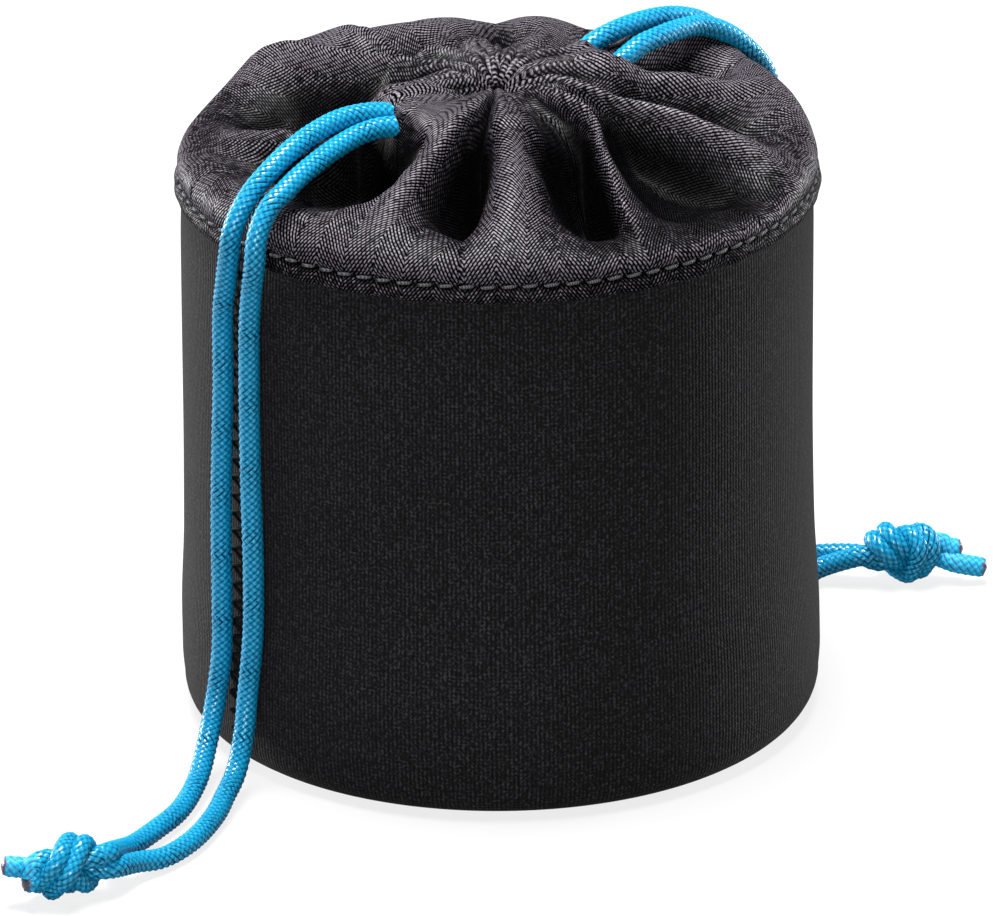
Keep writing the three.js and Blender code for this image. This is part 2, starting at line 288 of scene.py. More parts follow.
def twillLook(start):
    u, v = clothPlace(start)
    where = solidPlace(start)
    drift = speckle(start, where, 120.0)
    fuzz = speckle(start, where, 2400.0, 2.0)
    patch = speckle(start, where, 900.0, 1.0)
    gather = attribute(start, "gather")
    band = (u / weave["bands"] + drift * 0.12).math("PINGPONG", 0.5)  # the lean turns over twice a band
    band = band * weave["bands"]
    diagonal = (band * 0.8 + v * 0.6) / weave["rib"] + drift * 0.5
    rib = diagonal.wave().ease(0.1, 0.9)
    pick = diagonal.math("FLOOR") * 0.37
    dash = ((band * 0.6 - v * 0.8) / weave["dash"] + pick + drift * 0.4).wave().ease(0.0, 0.75)
    yarn = rib * (dash * 0.5 + 0.5) * (patch * 1.6 + 0.2) * (1.0 - gather * 0.8) + gather * 0.33
    paintedShadeFactor = 1.0 - attribute(start, "paintedShade") * weave["deep"]  # painted shade: colour and coat darkened deep in folds, pleats and the hem's stitch groove; above 1 on ridges, as painted light
    # painted shade: the base colour is darkest in the gaps between yarns and lightest on their crowns
    tone = (yarn * 1.05 + fuzz * 0.42 - 0.34 + drift * 0.1) * paintedShadeFactor
    line = 1.0 - attribute(start, "seam").ease(0.12, 0.42)
    stitch = line * (u / weave["stitch"]).wave().ease(0.2, 0.45)
    tone = tone * (1.0 - line * 0.85) + stitch * 0.3
    shine = (yarn * 0.7 + fuzz * 0.3 - 0.18).math("MAXIMUM", 0.0) * paintedShadeFactor
    return {"Base Color": tone.ramp(*weave["colours"]),
            "Roughness": 0.8 - yarn * 0.2,
            "Coat Weight": shine,
            "Normal": bump(start, yarn + fuzz * 0.3, weave["depth"], 0.8)}


def threadLook(start, light=0.011):
    where = solidPlace(start)
    ply = start.node("ShaderNodeTexWave", Vector=where, Scale=900.0, Distortion=2.0)
    colour = ply.ramp((0.0, (light * 0.2, light * 0.2, light * 0.22)), (1.0, (light, light, light * 1.1)))
    return {"Base Color": colour, "Normal": bump(start, ply, 0.00008)}


# cord colours: the blue's dark end is painted shade in the braid's gaps; the brown is the seared end's own
# colour
cordColourAndGapShade = dict(
    cord=[(0.25, (0.0, 0.012, 0.035)), (0.45, (0.0, 0.17, 0.36)), (0.62, (0.0, 0.28, 0.52)),
          (0.95, (0.003, 0.38, 0.64))],
    end=[(0.15, (0.0, 0.03, 0.075)), (0.5, (0.0, 0.24, 0.47)), (1.0, (0.006, 0.56, 0.9))],
    seared=[(0.35, (0.004, 0.05, 0.1)), (0.65, (0.1, 0.05, 0.07))])


def cordLook(start):
    u, v = clothPlace(start)
    pile, pick = attribute(start, "pile"), attribute(start, "pick")
    where = solidPlace(start)
    fuzz = speckle(start, where, 1600.0, 2.0)
    lean = pick * 2.0 - 1.0
    fibre = (u * 4.0 + lean * v * 4.2 + fuzz * 0.5).wave()
    # painted shade: the blue darkens with the braid's relief, into the gaps between yarns
    tone = pile * 0.78 + fibre * 0.14 + fuzz * 0.16 - 0.02
    shine = pile.ease(0.5, 0.95) * (fibre * 0.4 + 0.6)
    return {"Base Color": tone.ramp(*cordColourAndGapShade["cord"]),
            "Roughness": 0.6 - pile * 0.1,
            "Coat Weight": shine,
            "Normal": bump(start, fibre * 0.6 + fuzz, 0.00009, 0.7)}


def searedLook(start):
    where = solidPlace(start)
    melt = speckle(start, where, 700.0)
    run, pile = attribute(start, "run"), attribute(start, "pile")
    burnt = (run + melt * 0.16).ease(0.98, 1.08)
    # painted shade: the clean blue darkens into the braid's gaps
    clean = (pile * 0.8 + melt * 0.2).ramp(*cordColourAndGapShade["end"])
    brown = melt.ramp(*cordColourAndGapShade["seared"])
    colour = start.node("ShaderNodeMix", {"data_type": "RGBA"}, 2, i0=burnt, i6=clean, i7=brown)
    return {"Base Color": colour,
            "Roughness": 0.6 - burnt * 0.25,
            "Normal": bump(start, melt * 0.6 + pile * 0.4, 0.00012)}


jersey = newMaterial("neopreneJersey", jerseyLook, Sheen_Weight=0.03, Sheen_Roughness=0.4,
                     Specular_IOR_Level=0.15)
twill = newMaterial("collarTwill", twillLook, Specular_IOR_Level=0.0, Coat_Roughness=0.55)
thread = newMaterial("darkThread", threadLook, Roughness=0.85, Specular_IOR_Level=0.1)
hemThread = newMaterial("hemThread", lambda start: threadLook(start, 0.13), Roughness=0.7,
                        Specular_IOR_Level=0.3)
cordBlue = newMaterial("cordBlue", cordLook, Specular_IOR_Level=0.15, Coat_Roughness=0.2, Coat_IOR=2.0)
cordEnd = newMaterial("cordEnd", searedLook, Specular_IOR_Level=0.5)
print("stage: materials made")


# camera, floor and light

view = dict(azimuth=-37, elevation=23, distance=2.0, target=(-0.00025, 0.00019, 0.0397), lens=461.0,
            sensor=36, roll=0.5, far=20)
turned, raised = math.radians(view["azimuth"]), math.radians(view["elevation"])
level = math.cos(raised)
back = Vector((math.sin(turned) * level, -math.cos(turned) * level, math.sin(raised)))
camera = bpy.data.objects.new("camera", bpy.data.cameras.new("camera"))
camera.location = Vector(view["target"]) + back * view["distance"]
tilt = Quaternion((0, 0, 1), math.radians(-view["roll"]))
camera.rotation_euler = (back.to_track_quat("Z", "Y") @ tilt).to_euler()
camera.data.sensor_fit = "HORIZONTAL"
camera.data.sensor_width = view["sensor"]
camera.data.lens = view["lens"]
camera.data.clip_end = view["far"]
bpy.context.scene.collection.objects.link(camera)
bpy.context.scene.camera = camera

bpy.ops.mesh.primitive_plane_add(size=6, location=(0, 0, -0.0002))
floor = bpy.context.active_object
floor.name = "floor"


def seenRay(start):
    rays = [start.node("ShaderNodeLightPath", output=k) for k in ("Is Camera Ray", "Is Transmission Ray")]
    return rays[0].math("MAXIMUM", rays[1])


paper = bpy.data.materials.new("paper")
paper.use_nodes = True
tree = paper.node_tree
start = Sock(tree, None)
dim = start.node("ShaderNodeBsdfDiffuse", Color=(0.22, 0.22, 0.22, 1))
lit = start.node("ShaderNodeBsdfDiffuse", Color=(0.7, 0.7, 0.7, 1))
glow = start.node("ShaderNodeEmission", Color=(1, 1, 1, 1), Strength=1.0)
white = start.node("ShaderNodeMixShader", Fac=0.8, i1=lit, i2=glow)
shown = start.node("ShaderNodeMixShader", Fac=seenRay(start), i1=dim, i2=white)
tree.links.new(shown.socket, tree.nodes["Material Output"].inputs[0])
floor.data.materials.append(paper)

world = bpy.data.worlds.new("studio")
bpy.context.scene.world = world
world.use_nodes = True
start = Sock(world.node_tree, None)
strength = seenRay(start) * 0.94 + 0.06
world.node_tree.links.new(strength.socket, world.node_tree.nodes["Background"].inputs[1])
world.node_tree.nodes["Background"].inputs[0].default_value = (1, 1, 1, 1)


def addLight(name, place, size, power):
    light = bpy.data.lights.new(name, "AREA")
    light.size, light.energy = size, power
    lamp = bpy.data.objects.new(name, light)
    lamp.location = place
    lamp.rotation_euler = (Vector(place) - Vector((0, 0, 0.05))).to_track_quat("Z", "Y").to_euler()
    bpy.context.scene.collection.objects.link(lamp)


lights = {  # metres towards the camera, to its right and up
    "keyLight": dict(front=-0.05, right=-0.06, up=1.0, size=0.5, power=27),
    "fillLight": dict(front=1.3, right=-0.2, up=0.3, size=0.7, power=12),
    "leftLight": dict(front=-0.62, right=-0.92, up=0.1, size=0.4, power=26),
    "rightLight": dict(front=-0.62, right=0.92, up=0.1, size=0.4, power=18),
}
right = Vector((math.cos(turned), math.sin(turned), 0))
front = Vector((math.sin(turned), -math.cos(turned), 0))
for name, light in lights.items():
    place = front * light["front"] + right * light["right"] + Vector((0, 0, light["up"]))
    addLight(name, place, light["size"], light["power"])
bpy.context.scene.view_settings.view_transform = "Standard"
print("stage: camera and light set")


# cords: two strands each side, from the collar to the knot

cord = dict(radius=1.6, sides=32, step=0.28, carriers=8, pick=1.15, relief=0.3)
cutEnd = [[0, 0.5, 1.2], [0.86, 0.97, 1]]  # mm from a cut end, and the share of the radius left there
strands = {
    "leftCordA": dict(
        inside=[[-17.2, -3.4, 102]],
        top=[[-19.4, -2.3, 102.6], [-22, -1.1, 103.5], [-25.4, -0.2, 104], [-30, 0.2, 104],
             [-35.4, -0.4, 103.3], [-40.8, -1.6, 102.1], [-44.8, -2.4, 100.5]],
        side=[[-46, -2.6, 99.9], [-48.8, -2.8, 98], [-51.2, -2.8, 95.3], [-52.8, -2.6, 92],
              [-53, -2, 88.5], [-52.4, -0.2, 83], [-52, 1.3, 77.5], [-51.9, 1.7, 66], [-51.9, 2.4, 53.5],
              [-51.9, 2.9, 42], [-51.9, 3, 30], [-51.9, 3.3, 20], [-52.5, 4, 12.7], [-54.3, 3.2, 8],
              [-57.3, 0.7, 5], [-59.8, -1.6, 3.6], [-62.2, -3.6, 2.6], [-69.1, -8.8, 1.8],
              [-76.2, -12.4, 1.8], [-82.4, -15, 1.9], [-87.2, -17.8, 3.4]],
        nodes=("left_cord_a_top", "left_cord_a_rim", "left_cord_a"), body="gore_07"),
    "leftCordB": dict(
        inside=[[-17.2, -6.2, 100.6]],
        top=[[-20.6, -4.6, 101.9], [-24.4, -3.2, 102.4], [-28.6, -2.8, 102.1], [-33.4, -3.4, 101.3],
             [-38.2, -4.6, 100.4], [-42.2, -5.8, 99.5], [-45, -6.6, 98.6]],
        side=[[-46.2, -6.9, 98.1], [-49, -7.4, 96.8], [-51.2, -7.8, 94.3], [-52.3, -8, 91.4],
              [-52.5, -7.9, 88.5], [-51.9, -6.2, 83.5], [-51.7, -5.2, 78], [-51.7, -4.8, 66],
              [-51.7, -4.8, 51], [-51.7, -5.1, 36.5], [-51.7, -4.7, 25], [-52.4, -4, 14.9],
              [-53.8, -4.8, 9], [-55.7, -6, 5.4], [-57.6, -7.3, 3.6], [-61.4, -10.1, 2.5],
              [-65.8, -13.6, 1.8], [-74.8, -19.4, 1.8], [-81.6, -21.5, 1.8], [-87, -22.1, 2.8]],
        nodes=("left_cord_b_top", "left_cord_b_rim", "left_cord_b"), body="gore_07"),
    "rightCordA": dict(
        inside=[[13.8, 1.8, 99.2]],
        top=[[16.5, 2.3, 101.2], [18.7, 2.5, 102.7], [22.1, 2.7, 104], [26.4, 3, 104.6],
             [31.1, 3.3, 104.7], [35.5, 3.5, 104.3], [39, 3.8, 103.4], [42.6, 4.1, 101.9],
             [45, 4.3, 100.3]],
        side=[[46.1, 4.5, 99.5], [48.8, 5.1, 97.2], [51.2, 6, 94.2], [52.7, 6.8, 90.6], [52.6, 7, 85],
              [52.2, 7.2, 76], [52.1, 7.4, 60], [52.1, 7.6, 40], [52.2, 8.2, 20], [53.2, 8.6, 12],
              [55.4, 9, 6.6], [58.6, 9, 3.4], [62, 8.2, 2.3], [64.6, 6.8, 2.6], [66.8, 4.8, 3.6]],
        nodes=("right_cord_a_top", "right_cord_a_rim", "right_cord_a"), body="gore_01"),
    "rightCordB": dict(
        inside=[[18.2, -3.9, 101]],
        top=[[21.3, -3.5, 102.2], [23.4, -3.2, 102.9], [26, -2.8, 103.7], [30, -2.1, 103.9],
             [35.1, -0.9, 103.6], [39.7, 0.2, 102.8], [43.4, 0.3, 101.4]],
        side=[[44.6, 0.2, 100.7], [46.9, 0, 99], [49.7, -0.4, 96.2], [52, -0.6, 93.2], [53.2, -0.6, 90],
              [52.8, -0.8, 85], [52.3, -1, 77], [52.1, -1.2, 60], [52.1, -1.2, 40], [52.2, -1, 20],
              [53.2, -0.6, 11.6], [55.4, 0.2, 6.2], [58.6, 1.4, 2.7], [62.2, 2.1, 1.9], [66, 1.6, 2.8]],
        nodes=("right_cord_b_top", "right_cord_b_rim", "right_cord_b"), body="gore_01"),
}
rope = dict(size=1.8, deep=4.2, span=2.1, lift=1.5, apart=1.15, press=2.45, near=1.35, give=0.25,
            radius=1.45, reach=10.0, points=84, rounds=900, inside=5.8)
knots = {
    "leftKnot": dict(at=[-99.4, -21.4, 5.35], axis=[-0.96, 0.28, 0], roll=60, node="left_knot",
                     tails={"leftTailA": ("left_tail_a", [[-106.6, -18.2, 6.2], [-108.2, -17.2, 6.5]]),
                            "leftTailB": ("left_tail_b", [[-105.9, -21, 4.6], [-106.8, -20.9, 4.6]])}),
    "rightKnot": dict(at=[76.6, -5.6, 5.25], axis=[0.8, -0.6, 0], roll=300, node="right_knot",
                      tails={"rightTailA": ("right_tail_a", [[83.2, -9.6, 5.4], [84.6, -10.6, 5.2]]),
                             "rightTailB": ("right_tail_b", [[83, -11.4, 3.4], [86.8, -14, 2.4]])}),
}


def tieKnot():  # two strands in one loose overhand, drawn tight until they press on each other
    t, n = np.linspace(-rope["span"], rope["span"], 400), rope["points"]
    x, y = t**3 - 3 * t, t**4 - 4 * t**2 + rope["lift"]
    loose = np.stack([x, y, rope["deep"] * (t**5 / 5 - 2 * t)], 1) * rope["size"]
    pair = np.stack([evenSteps(loose + [0, 0, way * rope["apart"]], n)[0] for way in (1, -1)])
    begin, end = pair[:, [0, -1]].copy(), np.zeros((2, 2, 3))
    end[:, :, 0], end[:, :, 2] = [-rope["reach"], rope["reach"]], [[rope["apart"]], [-rope["apart"]]]
    place = np.arange(2 * n)
    owner = place // n
    for k in range(rope["rounds"]):
        drawn = min(1, 2 * k / rope["rounds"])
        pair[:, [0, -1]] = begin + (end - begin) * drawn
        pair[:, 1:-1] = (pair[:, :-2] + 2 * pair[:, 1:-1] + pair[:, 2:]) / 4
        step = np.linalg.norm(np.diff(pair[0], axis=0), axis=1).mean()
        near = int(rope["near"] * rope["press"] / step)
        apart = (owner[:, None] != owner) | (np.abs(place[:, None] - place) > near)
        points = pair.reshape(-1, 3)
        for _ in range(2):
            away = points[:, None] - points
            gap = np.sqrt((away**2).sum(2)) + 1e-9
            push = np.where(apart & (gap < rope["press"]), (rope["press"] - gap) / gap, 0)
            points = points + rope["give"] * (away * push[..., None]).sum(1)
        pair = points.reshape(2, n, 3)
        if k % 5 == 4:
            pair = np.stack([evenSteps(line, n)[0] for line in pair])
    return pair


def joinPieces(name, pieces):
    bpy.ops.object.select_all(action="DESELECT")
    for piece in pieces:
        piece.select_set(True)
    bpy.context.view_layer.objects.active = pieces[0]
    bpy.ops.object.join()
    pieces[0].name = pieces[0].data.name = name
    return pieces[0]


tied = tieKnot()
knotPieces, tailPieces, knotEntry = {}, {}, {}
for name, knot in knots.items():
    made = []
    axis, up = np.array(knot["axis"]) / np.linalg.norm(knot["axis"]), np.array([0, 0, 1.0])
    level, b = np.cross(up, axis), math.radians(knot["roll"])
    second, third = math.cos(b) * level + math.sin(b) * up, math.cos(b) * up - math.sin(b) * level
    rolled = np.stack([axis, second, third])
    for k, letter in enumerate("AB"):
        x = tied[k][:, 0]
        first, last = np.argmax(x > -rope["inside"]), len(x) - 1 - np.argmax(x[::-1] < rope["inside"])
        whole = tied[k] @ rolled + np.array(knot["at"])
        line, s = smoothRoute(whole[first:last + 1], cord["step"])
        outward = np.abs(s / s[-1] - 0.5) * 2
        squeezed = rope["radius"] + (cord["radius"] - rope["radius"]) * outward**8
        made.append(braidTube(f"{name}Strand{letter}", line, s, cord, cordBlue, squeezed))
        knotEntry[name[:-4] + letter] = [whole[first - 2], whole[first + 1]]
        tailName = name[:-4] + "Tail" + letter
        node, points = knot["tails"][tailName]
        line, s = smoothRoute([whole[last - 1], whole[last + 1]] + points, cord["step"])
        radius = cord["radius"] * np.interp(s[-1] - s, *cutEnd)
        tail = braidTube(tailName, line, s, cord, cordEnd, radius)
        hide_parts(node)
        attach(tail, "pouch")
        tailPieces[tailName] = tail
    piece = joinPieces(name, made)
    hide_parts(knot["node"])
    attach(piece, "pouch")
    knotPieces[name] = piece

for name, strand in strands.items():
    entry = knotEntry[name.replace("Cord", "")]
    line, s = smoothRoute(strand["inside"] + strand["top"] + strand["side"] + entry, cord["step"])
    piece = braidTube(name, line, s, cord, cordBlue)
    way = -1 if name.startswith("left") else 1
    way * 0.0515
    way * 0.0435
    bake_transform(piece)
    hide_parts(*strand["nodes"])
    hand, letter = name[:-5], name[-1]
    ends = [tailPieces[f"{hand}Tail{letter}"]] + ([knotPieces[f"{hand}Knot"]] if letter == "A" else [])
    [x * mm for x in strand["top"][0]]
    s[-1] * mm
    (line * mm).tolist()
print("stage: cords made")


# wall and base: a lofted foam shell with a knit face

wall = dict(columns=220, inner=45.0, middle=49, top=91.4, footIn=45.4, footHigh=5.0, baseTop=4.3,
            lip=[[48.2, -0.2], [47, 0], [46, 0]],  # radius, and height over the top
            # height, radius of the outside: a slight waist, a fuller foot and the pull of the hem
            outside=[[5, 50.0], [9, 50.3], [15, 50.3], [30, 49.6], [50, 49.3], [68, 49.25], [80, 49.2],
                     [87, 48.95], [90.4, 48.6]],
            # uneven skin: how far, waves round, where they start and how they drift with height
            waves=[[0.28, 2, 0.7, 0.01], [0.2, 3, 2.1, -0.024], [0.1, 5, 0, 0.05]],
            calm=dict(low=20, top=91, over=12))  # and the heights over which it dies away


def curveAt(x, xs, ys):  # a smooth curve through the points that never swings past them
    xs, ys, x = np.asarray(xs, float), np.asarray(ys, float), np.asarray(x, float)
    rise = np.diff(ys) / np.diff(xs)
    both = rise[:-1] + rise[1:]
    slope = np.where(rise[:-1] * rise[1:] > 0, 2 * rise[:-1] * rise[1:] / np.where(both == 0, 1, both), 0)
    slope = np.concatenate([rise[:1], slope, rise[-1:]])
    i = np.clip(np.searchsorted(xs, x) - 1, 0, len(xs) - 2)
    h = xs[i + 1] - xs[i]
    t = np.clip((x - xs[i]) / h, 0, 1)
    a, b = ys[i], ys[i + 1]
    leave, arrive = (t**3 - 2 * t**2 + t) * h * slope[i], (t**3 - t**2) * h * slope[i + 1]
    return (2 * t**3 - 3 * t**2 + 1) * a + leave + (3 * t**2 - 2 * t**3) * b + arrive


def unevenWall(theta, z):
    calm = wall["calm"]
    soft = sum(far * np.sin(n * theta + begin + z * drift) for far, n, begin, drift in wall["waves"])
    return soft * np.clip(z / calm["low"], 0, 1) * np.clip((calm["top"] - z) / calm["over"], 0, 1)


def makeWall():
    spans = [(wall["footHigh"], 10, 8), (11.5, 84, 40), (85.5, wall["outside"][-1][0], 6)]
    heights = np.concatenate([np.linspace(*span) for span in spans])
    outer = [[curveAt(z, *zip(*wall["outside"])), z] for z in heights]
    wide, high = wall["outside"][0][1] - wall["footIn"], wall["footHigh"]
    under = np.radians(np.linspace(-90, -8, 10))
    foot = [[wall["footIn"] + wide * math.cos(a), high + high * math.sin(a)] for a in under]
    inside = [[wall["inner"], z] for z in np.linspace(wall["top"] - 1, wall["baseTop"] + 0.6, 20)]
    top = [[r, wall["top"] + rise] for r, rise in wall["lip"]]
    heel = [[wall["inner"] + 0.6, wall["baseTop"]], [wall["footIn"], wall["baseTop"]], [wall["footIn"], 2]]
    profile = np.array(foot + outer + top + inside + heel)
    theta = np.linspace(0, 2 * math.pi, wall["columns"], endpoint=False)
    r, z = profile[:, :1] + 0 * theta, profile[:, 1:] + 0 * theta
    skin = np.zeros(len(profile))
    skin[len(foot):len(foot) + len(outer)] = 1
    r = r + unevenWall(theta[None, :], z) * skin[:, None]
    verts = np.stack([r * np.cos(theta), r * np.sin(theta), z], -1).reshape(-1, 3)
    v = np.repeat(pathLength(profile), len(theta))
    uv = np.stack([np.tile(theta * wall["middle"], len(profile)) / 100, v / 100], 1)
    faces = gridFaces(len(profile), len(theta), around=True, along=True)
    return addMesh("sidePanel", verts * mm, faces, jersey, uv)


sidePanel = makeWall()
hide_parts("side_panel")
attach(sidePanel, "pouch")

base = dict(radius=0.0452, thick=0.004, soft=0.0008, segments=3, sides=120)
bpy.ops.mesh.primitive_circle_add(vertices=base["sides"], radius=base["radius"], fill_type="NGON",
                                  location=(0, 0, 0))
basePanel = bpy.context.active_object
basePanel.name = basePanel.data.name = "basePanel"
bpy.ops.object.mode_set(mode="EDIT")
bpy.ops.mesh.select_all(action="SELECT")
bpy.ops.mesh.extrude_region_move(TRANSFORM_OT_translate={"value": (0, 0, base["thick"])})
bpy.ops.mesh.select_all(action="SELECT")
bpy.ops.mesh.normals_make_consistent(inside=False)
bpy.ops.object.mode_set(mode="OBJECT")
bevel = basePanel.modifiers.new("softEdge", "BEVEL")
bevel.width, bevel.segments, bevel.limit_method = base["soft"], base["segments"], "ANGLE"
layer = basePanel.data.uv_layers.active or basePanel.data.uv_layers.new(name="cloth")
layer.name = "cloth"
for loop in basePanel.data.loops:
    x, y, z = basePanel.data.vertices[loop.vertex_index].co
    layer.data[loop.index].uv = (x * 10, y * 10 + z * 10)
basePanel.data.materials.append(jersey)
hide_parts("base_panel")
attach(basePanel, "pouch")
print("stage: wall and base made")


# collar: a hem band and gathered gores, all one surface at rest

# each fold's ridge and the valley after it: degrees from their even places at the radii of turnAt, and
# heights (top, floor) at the radii of heightAt; edge tells how the two sides meet the crest: 0 round,
# 1 sharp, -1 broad
goreCount, goreTurn = 12, 30
turnAt = [8, 18, 26, 36, 46]
heightAt = [8, 17.5, 20.5, 22.5, 24.5, 33, 40, 45, 48]
folds = [
    dict(ridge=[0, 4, 5, 6, 6], valley=[0, 6, 12, 18, 20], edge=(0, 0),
         top=[104.6, 104.6, 102.6, 101.8, 101.4, 102, 101.4, 99.4, 96.4],
         floor=[103.6, 101, 96, 94, 93, 93, 94.8, 94.6, 93.2]),
    dict(ridge=[0, 4, 8, 12, 14], valley=[0, 3, 6, 8, 8], edge=(-0.5, -0.6),
         top=[104.4, 103.6, 100.6, 99.8, 99.4, 99.6, 98.4, 96.4, 93.8],
         floor=[103.4, 100, 93, 90.3, 89, 90, 94, 94.6, 93.2]),
    dict(ridge=[2, 4, 6, 6, 6], valley=[0, 0, 3, 4, 5], edge=(-0.6, 0),
         top=[104.4, 103.4, 100, 99.4, 99.2, 99.4, 98, 96.2, 94.4],
         floor=[103.4, 101, 96, 94.4, 93.6, 94, 95.8, 96, 94.4]),
    dict(ridge=[0, 0, 0, -2, -3], valley=[0, -5, -8, -10, -10], edge=(0, 0),
         top=[104.2, 103.2, 101, 100.3, 100, 100, 99, 97.2, 95.2],
         floor=[103.2, 101, 96, 94.2, 93.4, 94.4, 97, 97, 95.4]),
    dict(ridge=[-2, -7, -10, -12, -14], valley=[-3, -4, -4, -6, -8], edge=(0, 0.8),
         top=[104, 103.8, 103, 102.7, 102.4, 101.6, 100.4, 98.4, 96],
         floor=[103, 99, 93, 90.7, 89.5, 89, 91.8, 93, 92.4]),
    dict(ridge=[4, 8, 14, 3, -9], valley=[2, 4, 8, 3, -4], edge=(0.3, 0),
         top=[103.8, 103.4, 101, 98.9, 97.6, 97.6, 95.8, 93.6, 92.3],
         floor=[103.2, 104.6, 103, 95.1, 88, 87, 92.6, 94, 92.9]),
    dict(ridge=[0, 3, 3, 3, 0], valley=[3, 2, -1, 0, -1], edge=(0, 0.9),
         top=[104.4, 106.4, 106.2, 95, 87, 86, 94, 94.8, 93.1],
         floor=[102.6, 105.2, 105.8, 105.4, 91, 85, 93.8, 94.6, 92.9]),
    dict(ridge=[8, 4, 2, 0, -1.5], valley=[4, 1, 2, 1.5, 1], edge=(-0.5, 0.4),
         top=[103.6, 103.4, 102.8, 102.2, 101.6, 99.2, 96.8, 94.7, 92.9],
         floor=[101, 95, 88, 85.6, 84.5, 87, 91.4, 93.4, 92.4]),
    dict(ridge=[-4, -1, -2, -3.5, -4], valley=[21, 17, 11, 5, 1.5], edge=(-1, 0.1),
         top=[103.8, 103.4, 102.8, 102.3, 101.8, 99.8, 97.4, 94.9, 92.9],
         floor=[102, 96, 89, 86, 84.5, 86, 90, 92, 91.6]),
    dict(ridge=[20, 13, 0.5, -6.5, -9.5], valley=[18, 11, 7, 4, 2], edge=(1, 0.8),
         top=[103.6, 103, 102.4, 101.9, 101, 98.4, 95.6, 93.4, 91.8],
         floor=[103, 100.4, 96, 93, 91.2, 89, 89.6, 91, 91]),
    dict(ridge=[8, 1, 3.5, 3.5, 2.6], valley=[6, 4, 4, 5, 8], edge=(0.9, 0.2),
         top=[103.8, 103.6, 103.2, 102.8, 102.4, 100.2, 97.4, 94.8, 92.6],
         floor=[103, 100.6, 96.6, 94.1, 92.6, 91.6, 93, 93.8, 92.6]),
    dict(ridge=[8, 12, 6, 6, 13], valley=[6, 7, 3, 5, 9], edge=(0, 0.2),
         top=[104.2, 105.2, 104.2, 102.9, 101.8, 100.2, 98.8, 97.4, 94.8],
         floor=[103.8, 104.2, 101, 94.8, 90, 89.5, 95.6, 97.2, 95.2]),
]
collar = dict(cloth=0.5, columns=22, casing=19.0, low=89.3, step=0.7, round=49.5, weaveStart=3.2,
              seamDepth=0.35, seamWidth=0.5,  # the channel's stitch line, at the casing's radius
              puff=0.2, pull=0.2, gather=1.15,  # heights of the small wrinkles
              # radius and height from the stitch row to the shoulder
              skirt=[[49.2, 89.3], [49.3, 90.2], [49.2, 91.2], [48.8, 92.1], [48, 93]],
              # radius and fall of the throat's lip
              throat=[[0.5, 3.4], [1.4, 2.6], [2.6, 1.6], [4.4, 0.6], [8, 0]],
              # even crest that the painted fold shade is measured from
              crest=[[1.2, 99.6], [8, 103.8], [17.5, 103.2], [24.5, 101.3], [33, 98.9], [41, 96.2],
                     [48, 92.6], [49.5, 88]])


def easeSide(t, edge):
    power = 2.6
    rounded = 0.5 - 0.5 * np.cos(math.pi * t)
    sharp = t**power
    broad = 1 - (1 - t) ** power
    return rounded + max(edge, 0) * (sharp - rounded) + max(-edge, 0) * (broad - rounded)


def bell(x, middle, width):
    return np.exp(-(((x - middle) / width) ** 2))


pleats = dict(count=37, behind=60, least=0.2, most=0.8, middle=8.5, width=6, fade=5)


def pleat(theta, r):  # the small gathers round the throat, most of them behind it
    behind = 0.5 + 0.5 * np.cos(theta - math.radians(pleats["behind"]))
    wave = np.sin(pleats["count"] * theta + 1.2 * np.sin(6 * theta) + 0.25 * np.sin(r * 0.5))
    amount = (pleats["least"] + pleats["most"] * behind) * bell(r, pleats["middle"], pleats["width"])
    return wave, amount * np.clip(r / pleats["fade"], 0, 1)


def wrinkle(theta, r):
    x, y = r * np.cos(theta), r * np.sin(theta)
    soft = np.sin(x * 0.33 + 1.3 * np.sin(y * 0.21))
    soft = soft + np.sin(y * 0.39 + 1.1 * np.sin(x * 0.27 + 2))
    soft = soft + 0.6 * np.sin((x + y) * 0.71 + 1.7 * np.sin(y * 0.5))
    pull = np.sin(17 * theta + 0.13 * r + 0.8 * np.sin(5 * theta))
    pull = pull + 0.7 * np.sin(29 * theta - 0.1 * r + np.sin(7 * theta + 1))
    wave, amount = pleat(theta, r)
    fadeIn = np.clip((47.5 - r) / 6, 0, 1)
    outward = np.clip(r / 20, 0, 1)
    return (collar["puff"] * soft * fadeIn + collar["pull"] * pull * fadeIn * outward
            + collar["gather"] * wave * amount)


def foldTurn(k, r, kind):
    even = goreTurn * k + (goreTurn / 2 if kind == "valley" else 0)
    inRange = np.clip(r, turnAt[0], turnAt[-1])
    return np.radians(even + curveAt(inRange, turnAt, folds[k % goreCount][kind]))


def foldHeight(k, r, z, kind):
    heights, low, throat = folds[k % goreCount][kind], collar["low"], collar["throat"]
    lip = curveAt(np.clip(r, throat[0][0], throat[-1][0]), *zip(*throat))
    inner = curveAt(np.clip(r, heightAt[0], heightAt[-1]), heightAt, heights) - lip
    skirt = low + (z - low) * (heights[-1] - low) / (collar["skirt"][-1][1] - low)
    return np.where(z > 0, skirt, inner)


hem = dict(profile=[[49.06, 90.1], [49.1, 88.1], [49.12, 86.7], [49.3, 86.3], [49.7, 86.2], [50.1, 86.5],
                    [50.28, 87.1], [50.15, 87.8], [49.8, 88.35], [49.55, 88.65], [49.4, 88.9], [49.3, 89.2],
                    [49.15, 89.7], [48.95, 90.6], [48.9, 91.2]],
           columns=760, step=0.28, stitches=95, rise=88.9, pull=0.3, spread=0.8, groove=0.45, ripple=0.07,
           weaveStart=-4.2)


def pucker(theta):  # how far each stitch pulls the cloth in
    return hem["pull"] * (0.5 + 0.5 * np.cos(hem["stitches"] * theta))


def foldTurns(k, r):  # its ridge and the valleys before and after it
    return foldTurn(k, r, "ridge"), foldTurn(k - 1, r, "valley"), foldTurn(k, r, "valley")


